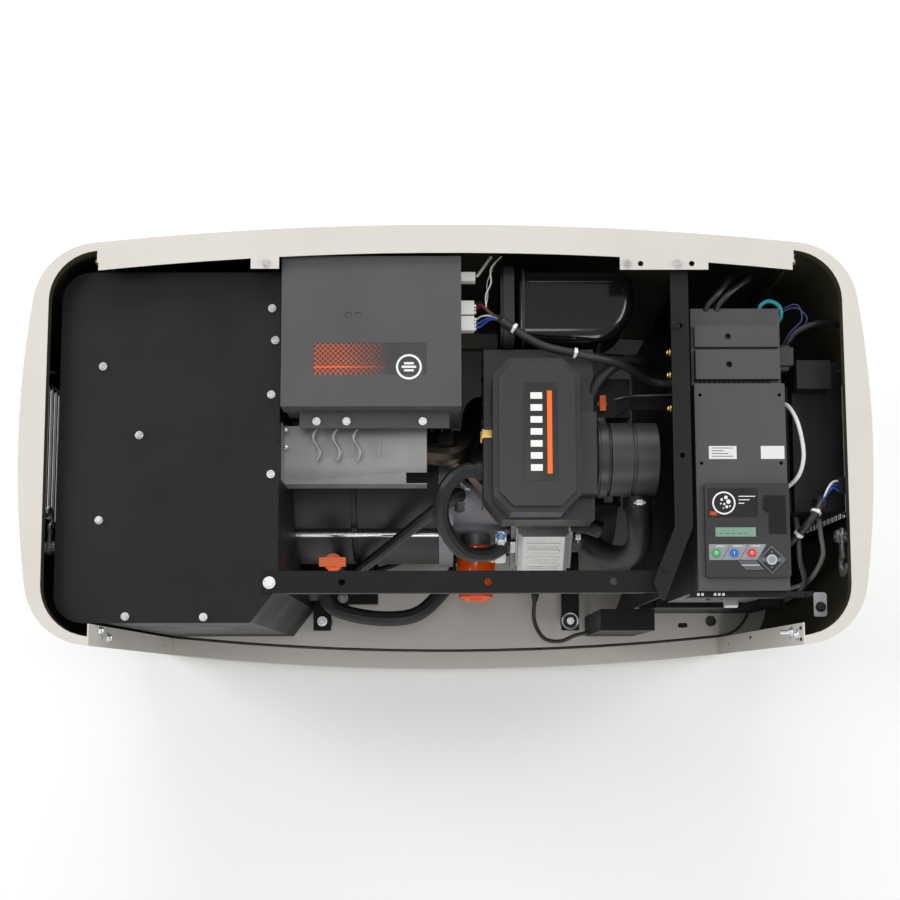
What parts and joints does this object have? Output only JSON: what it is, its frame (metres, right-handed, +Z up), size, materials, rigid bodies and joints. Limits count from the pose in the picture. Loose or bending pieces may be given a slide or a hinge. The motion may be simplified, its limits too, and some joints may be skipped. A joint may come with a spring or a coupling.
{
  "type": "home standby generator",
  "caption": "Air-cooled home standby generator in a bowed steel enclosure, roof and front door off, with V-twin engine, alternator, inverter and control box inside.",
  "frame": {"origin": "ground level at the middle of the base", "axes": "+Z up, +X along the length to the right as seen from the front, -Y towards the front door opening"},
  "size_m": [1.219, 0.635, 0.6152],
  "materials": {
    "beige_paint": "fine-textured beige powder coat",
    "black_paint": "satin black powder coat",
    "grey_paint": "textured dark grey powder coat",
    "cast_alloy": "as-cast aluminium",
    "alloy_sheet": "aluminised sheet",
    "steel": "plain steel",
    "zinc": "bright zinc plate",
    "moulded_black": "matte black plastic",
    "moulded_grey": "matte dark grey plastic",
    "glossy_black": "gloss black plastic",
    "rubber": "black rubber",
    "orange_paint": "gloss orange paint",
    "orange_plastic": "orange plastic",
    "filter_paper": "pleated paper",
    "green_key": "green plastic",
    "blue_key": "blue plastic",
    "red_key": "red plastic",
    "grey_key": "light grey plastic"
  },
  "bodies": {
    "enclosure": {"base_skirt": "beige_paint", "floor_pan": "beige_paint", "left_end_panel": "beige_paint", "right_end_panel": "beige_paint", "rear_panel": "beige_paint", "end_louvers": "moulded_black", "lock_barrels": "zinc", "rear_exhaust_cover": "black_paint", "front_exhaust_cover": "black_paint", "exhaust_enclosure": "black_paint", "muffler": "steel", "exhaust_pipes": "steel", "heat_shield": "alloy_sheet", "inverter_case": "grey_paint", "inverter_cover": "grey_paint", "stator": "steel", "alternator_can": "black_paint", "end_bell": "black_paint", "adapter_housing": "cast_alloy", "crankcase": "cast_alloy", "cylinders": "cast_alloy", "valve_covers": "cast_alloy", "blower_housing": "moulded_black", "airbox_base": "moulded_grey", "airbox_cover": "moulded_grey", "air_filter": "filter_paper", "resonator": "moulded_grey", "intake_hose": "rubber", "fuel_mixer": "cast_alloy", "intake_scoop": "glossy_black", "oil_filter": "orange_paint", "dipstick_tube": "black_paint", "hoses": "rubber", "front_rail": "black_paint", "engine_baffle": "black_paint", "corner_baffle": "black_paint", "control_box": "grey_paint", "control_panel": "grey_paint", "controller_bezel": "moulded_black", "breaker_body": "moulded_black", "battery": "moulded_black", "air_duct": "moulded_black", "fuel_regulator": "cast_alloy", "skid_frame": "black_paint", "isolators": "rubber", "fasteners": "zinc", "wiring": "rubber"},
    "left_hook": {"left_hook": "zinc"},
    "right_hook": {"right_hook": "zinc"},
    "fuel_selector": {"fuel_selector": "orange_plastic"},
    "dipstick": {"dipstick": "orange_plastic"},
    "auto_button": {"auto_button": "green_key"},
    "manual_button": {"manual_button": "blue_key"},
    "off_button": {"off_button": "red_key"},
    "nav_pad": {"nav_pad": "grey_key"},
    "enter_button": {"enter_button": "grey_key"},
    "escape_button": {"escape_button": "grey_key"},
    "breaker_toggle": {"breaker_toggle": "grey_key"},
    "rotor": {"rotor": "steel", "flywheel": "steel"}
  },
  "joints": [
    {"name": "left_hook_turn", "type": "hinge", "parent": "enclosure", "child": "left_hook", "pos_m": [-0.584, -0.145, 0.535], "axis": [1, 0, 0], "range_deg": [0, 90]},
    {"name": "right_hook_turn", "type": "hinge", "parent": "enclosure", "child": "right_hook", "pos_m": [0.584, -0.13, 0.535], "axis": [-1, 0, 0], "range_deg": [0, 90]},
    {"name": "rotor_spin", "type": "hinge", "parent": "enclosure", "child": "rotor", "pos_m": [0, 0.005, 0.24], "axis": [1, 0, 0], "continuous": true},
    {"name": "fuel_selector_turn", "type": "hinge", "parent": "enclosure", "child": "fuel_selector", "pos_m": [0.238, 0.078, 0.5], "axis": [0, 0, 1], "range_deg": [0, 90]},
    {"name": "dipstick_pull", "type": "slide", "parent": "enclosure", "child": "dipstick", "axis": [0, 0, 1], "range_m": [0, 0.2]},
    {"name": "breaker_toggle_turn", "type": "hinge", "parent": "enclosure", "child": "breaker_toggle", "pos_m": [0.426, -0.209, 0.495], "axis": [1, 0, 0], "range_deg": [0, 40]},
    {"name": "auto_button_press", "type": "slide", "parent": "enclosure", "child": "auto_button", "axis": [0, 0, -1], "range_m": [0, 0.0008], "stiffness_N_per_m": 400, "springref_m": -0.001},
    {"name": "manual_button_press", "type": "slide", "parent": "enclosure", "child": "manual_button", "axis": [0, 0, -1], "range_m": [0, 0.0008], "stiffness_N_per_m": 400, "springref_m": -0.001},
    {"name": "off_button_press", "type": "slide", "parent": "enclosure", "child": "off_button", "axis": [0, 0, -1], "range_m": [0, 0.0008], "stiffness_N_per_m": 400, "springref_m": -0.001},
    {"name": "nav_pad_press", "type": "slide", "parent": "enclosure", "child": "nav_pad", "axis": [0, 0, -1], "range_m": [0, 0.0008], "stiffness_N_per_m": 400, "springref_m": -0.001},
    {"name": "enter_button_press", "type": "slide", "parent": "enclosure", "child": "enter_button", "axis": [0, 0, -1], "range_m": [0, 0.0008], "stiffness_N_per_m": 400, "springref_m": -0.001},
    {"name": "escape_button_press", "type": "slide", "parent": "enclosure", "child": "escape_button", "axis": [0, 0, -1], "range_m": [0, 0.0008], "stiffness_N_per_m": 400, "springref_m": -0.001}
  ]
}
